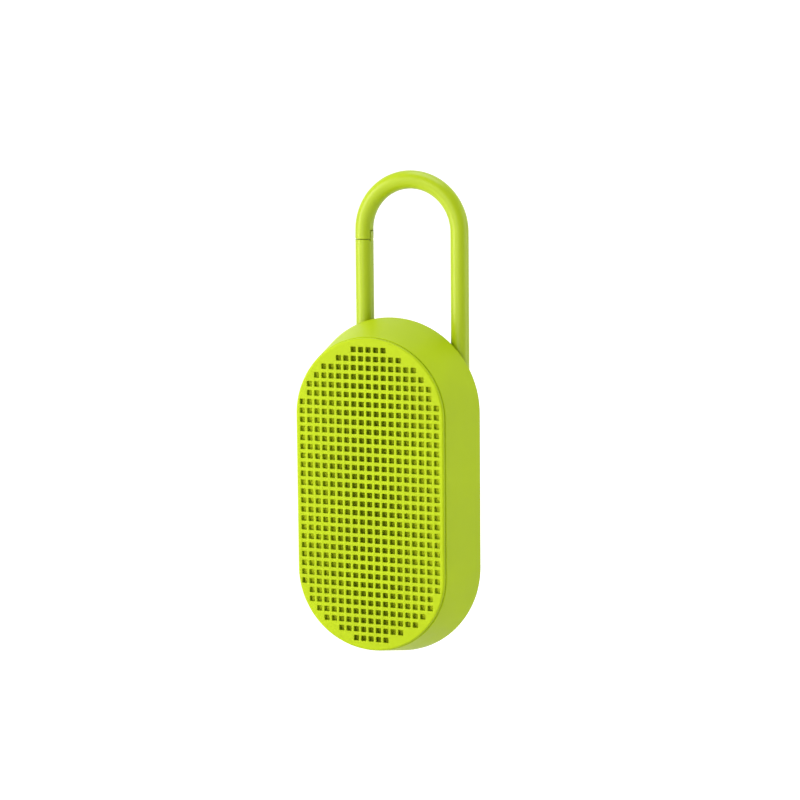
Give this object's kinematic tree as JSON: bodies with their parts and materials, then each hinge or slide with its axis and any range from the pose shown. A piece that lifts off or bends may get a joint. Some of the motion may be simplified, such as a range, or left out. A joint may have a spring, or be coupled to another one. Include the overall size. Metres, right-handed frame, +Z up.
{
  "type": "shower speaker",
  "caption": "Slim stadium-shaped splash-proof speaker with a square-hole grille and a sprung-gate carabiner loop on top.",
  "frame": {"origin": "centre of the flat rear face", "axes": "+X to the right seen from the grille, +Y out of the rear face (the grille faces -Y), +Z up towards the carabiner loop"},
  "size_m": [0.0566, 0.03, 0.1481],
  "materials": {
    "shell_lime": "fine satin moulded plastic, lime",
    "rod_lime": "satin lime coating over a metal rod",
    "soft_lime": "soft lime silicone",
    "lime_mesh": "fine black acoustic cloth",
    "seal_rubber": "matt black rubber",
    "steel": "plain bright steel",
    "dark_steel": "black coated steel",
    "ferrite": "matt grey ferrite",
    "black_plastic": "matt black plastic",
    "foam": "dark grey foam and treated cloth",
    "copper": "enamelled copper wire",
    "board": "green solder mask",
    "battery_film": "grey pouch film",
    "white_plastic": "plain white plastic",
    "clear_plastic": "clear plastic",
    "red_wire": "red insulated wire"
  },
  "bodies": {
    "case": {"grille_panel": "shell_lime", "front_housing": "shell_lime", "rear_cover": "shell_lime", "carabiner_spine": "rod_lime", "acoustic_mesh": "lime_mesh", "housing_seal": "seal_rubber", "button_seal": "seal_rubber", "driver_surround": "seal_rubber", "passive_surround": "seal_rubber", "tact_switch": "seal_rubber", "speaker_lead": "seal_rubber", "rear_screw_1": "steel", "rear_screw_2": "steel", "rear_screw_3": "steel", "rear_screw_4": "steel", "gate_pin": "steel", "gate_spring": "steel", "spine_nut": "steel", "driver_top_plate": "steel", "driver_yoke": "steel", "board_screw_1": "steel", "board_screw_2": "steel", "bluetooth_shield": "steel", "usb_socket": "steel", "microphone": "steel", "driver_basket": "dark_steel", "passive_frame": "dark_steel", "spine_block": "dark_steel", "driver_magnet": "ferrite", "hinge_block": "black_plastic", "driver_gasket": "foam", "battery_pad": "foam", "driver_spider": "foam", "circuit_board": "board", "battery_cell": "battery_film", "battery_connector": "white_plastic", "speaker_connector": "white_plastic", "status_led": "clear_plastic", "light_pipe": "clear_plastic", "battery_lead": "red_wire"},
    "gate": {"carabiner_gate": "rod_lime"},
    "cone": {"driver_cone": "black_plastic", "driver_dust_cap": "black_plastic", "voice_coil": "copper"},
    "passive_plate": {"passive_diaphragm": "black_plastic", "passive_weight": "steel"},
    "button": {"power_button": "soft_lime", "switch_plunger": "white_plastic"},
    "port_flap": {"port_cover": "soft_lime"}
  },
  "joints": [
    {"name": "gate_hinge", "type": "hinge", "parent": "case", "child": "gate", "pos_m": [-0.0108, -0.007, 0.0405], "axis": [0, 1, 0], "range_deg": [0, 25], "stiffness_Nm_per_rad": 0.05, "springref_deg": -22.92},
    {"name": "button_press", "type": "slide", "parent": "case", "child": "button", "axis": [0, -1, 0], "range_m": [0, 0.0005], "stiffness_N_per_m": 600, "springref_m": -0.0005},
    {"name": "port_cover_hinge", "type": "hinge", "parent": "case", "child": "port_flap", "pos_m": [0, -0.00055, -0.029], "axis": [1, 0, 0], "range_deg": [0, 100], "stiffness_Nm_per_rad": 0.002, "springref_deg": -5.73},
    {"name": "cone_travel", "type": "slide", "parent": "case", "child": "cone", "axis": [0, -1, 0], "range_m": [-0.0005, 0.0005], "stiffness_N_per_m": 900},
    {"name": "passive_travel", "type": "slide", "parent": "case", "child": "passive_plate", "axis": [0, -1, 0], "range_m": [-0.0006, 0.0006], "stiffness_N_per_m": 900}
  ]
}
